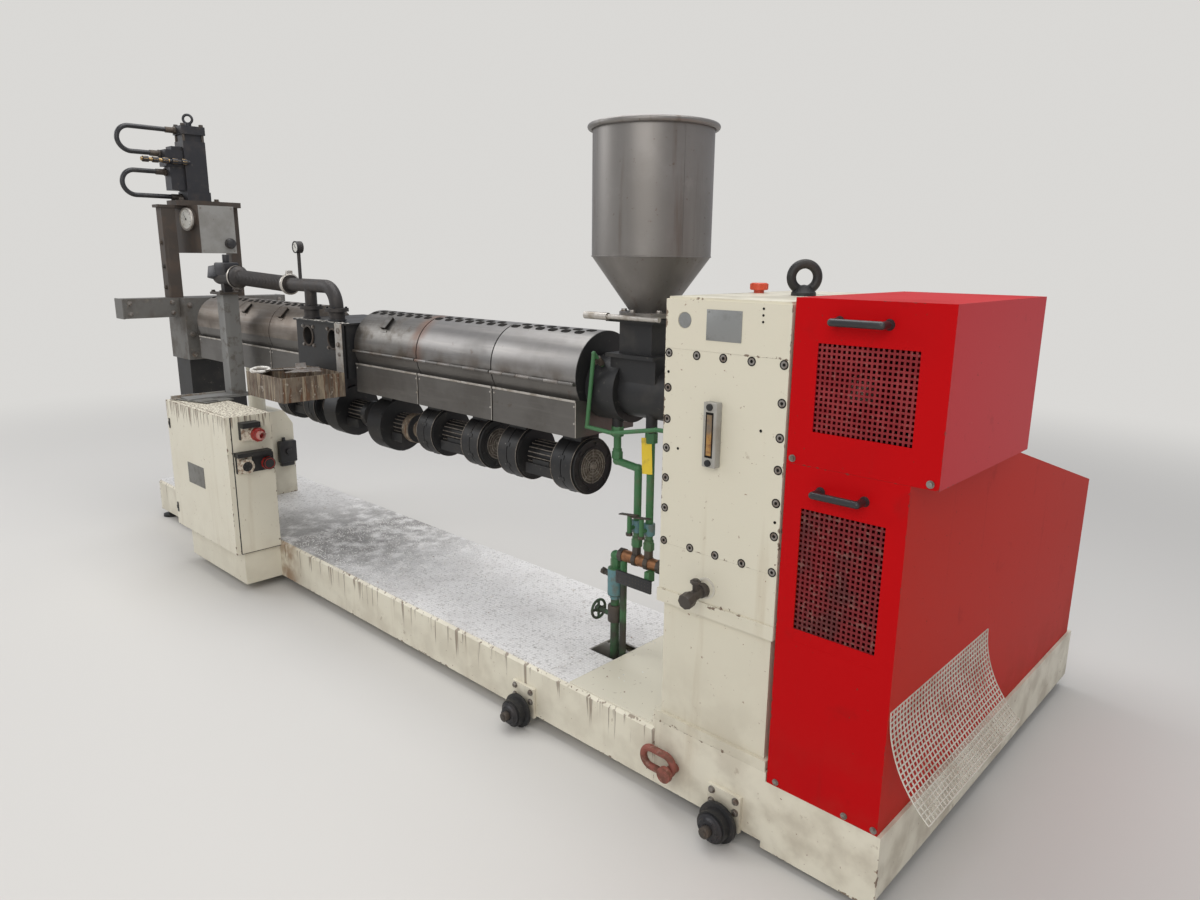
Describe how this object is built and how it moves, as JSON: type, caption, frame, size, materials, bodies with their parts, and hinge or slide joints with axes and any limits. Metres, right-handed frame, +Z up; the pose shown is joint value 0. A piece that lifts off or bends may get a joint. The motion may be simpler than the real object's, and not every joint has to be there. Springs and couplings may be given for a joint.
{
  "type": "plastic extruder",
  "caption": "Single-screw plastic extruder on a long wheeled base with hopper, upright gearbox, guarded belt drive, vented hooded barrel, blowers and hydraulic screen changer.",
  "frame": {"origin": "centre of the whole machine's outline seen from above, on the floor under its wheels and feet", "axes": "+X along the barrel towards the gearbox and drive end, +Y away from the operator's side towards the motor, +Z up"},
  "size_m": [4.8066, 1.9276, 2.3833],
  "materials": {
    "cream_paint": "satin, chipped and rust-stained",
    "tread_plate": "worn tread pattern",
    "red_paint": "satin",
    "black_steel": "matte",
    "black_rubber": "matte",
    "rusty_steel": "oily and rusted",
    "bare_steel": "heat-stained",
    "aged_cream": "worn and rusted",
    "grey_pipe": "dusty",
    "green_paint": "satin",
    "blue_paint": "satin",
    "plastic_mesh": "dusty",
    "socket_red": "dusty"
  },
  "bodies": {
    "machine": {"base_frame": "cream_paint", "deck_plate": "tread_plate", "drive_frame": "cream_paint", "levelling_feet": "black_steel", "axle_plates": "cream_paint", "lifting_shackle": "rusty_steel", "gearbox_lower": "cream_paint", "gearbox_body": "cream_paint", "gearbox_cover": "cream_paint", "gearbox_cap": "cream_paint", "gearbox_fittings": "black_steel", "upper_guard": "red_paint", "lower_guard": "red_paint", "guard_screens": "black_steel", "guard_handles": "black_rubber", "mesh_sheet": "plastic_mesh", "drive_motor": "blue_paint", "cabinet_body": "cream_paint", "cabinet_sockets": "socket_red", "support_column": "cream_paint", "barrel": "bare_steel", "feed_section": "black_steel", "feed_throat": "black_steel", "hopper_body": "bare_steel", "hopper_cone": "bare_steel", "rear_hoods": "bare_steel", "hood_boxes": "bare_steel", "vent_block": "black_steel", "vent_tray": "aged_cream", "vacuum_line": "grey_pipe", "blower_row": "black_steel", "water_pipes": "green_paint", "changer_pedestal": "black_steel", "changer_body": "rusty_steel", "changer_yoke": "rusty_steel", "hydraulic_cylinder": "black_steel", "hydraulic_hoses": "black_rubber"},
    "wheel_front_drive_body": {"wheel_front_drive": "black_steel"},
    "wheel_front_mid_body": {"wheel_front_mid": "black_steel"},
    "wheel_rear_drive_body": {"wheel_rear_drive": "black_steel"},
    "wheel_rear_mid_body": {"wheel_rear_mid": "black_steel"},
    "cabinet_door_body": {"cabinet_door": "cream_paint"},
    "hood_1_body": {"hood_1": "bare_steel"},
    "hood_2_body": {"hood_2": "bare_steel"},
    "hood_3_body": {"hood_3": "bare_steel"},
    "slide_gate_body": {"slide_gate": "bare_steel"},
    "valve_handwheel_body": {"valve_handwheel": "green_paint"}
  },
  "joints": [
    {"name": "wheel_front_drive_joint", "type": "hinge", "parent": "machine", "child": "wheel_front_drive_body", "pos_m": [1.84873, -0.7975, 0.06], "axis": [0, 1, 0], "continuous": true},
    {"name": "wheel_front_mid_joint", "type": "hinge", "parent": "machine", "child": "wheel_front_mid_body", "pos_m": [1.00273, -0.7975, 0.06], "axis": [0, 1, 0], "continuous": true},
    {"name": "wheel_rear_drive_joint", "type": "hinge", "parent": "machine", "child": "wheel_rear_drive_body", "pos_m": [1.84873, 0.9265, 0.06], "axis": [0, 1, 0], "continuous": true},
    {"name": "wheel_rear_mid_joint", "type": "hinge", "parent": "machine", "child": "wheel_rear_mid_body", "pos_m": [1.00273, -0.0335, 0.06], "axis": [0, 1, 0], "continuous": true},
    {"name": "cabinet_door_joint", "type": "hinge", "parent": "machine", "child": "cabinet_door_body", "pos_m": [-1.51227, -0.9528, 0.52], "axis": [0, 0, 1], "range_deg": [-110, 0]},
    {"name": "hood_1_joint", "type": "hinge", "parent": "machine", "child": "hood_1_body", "pos_m": [0.84673, -0.5725, 1.186], "axis": [1, 0, 0], "range_deg": [0, 100]},
    {"name": "hood_2_joint", "type": "hinge", "parent": "machine", "child": "hood_2_body", "pos_m": [0.39073, -0.5725, 1.186], "axis": [1, 0, 0], "range_deg": [0, 100]},
    {"name": "hood_3_joint", "type": "hinge", "parent": "machine", "child": "hood_3_body", "pos_m": [-0.07327, -0.5725, 1.186], "axis": [1, 0, 0], "range_deg": [0, 100]},
    {"name": "slide_gate_joint", "type": "slide", "parent": "machine", "child": "slide_gate_body", "axis": [0, -1, 0], "range_m": [0, 0.12]},
    {"name": "valve_handwheel_joint", "type": "hinge", "parent": "machine", "child": "valve_handwheel_body", "pos_m": [1.07673, -0.4555, 0.36], "axis": [1, 0, 0], "range_deg": [0, 720]}
  ]
}
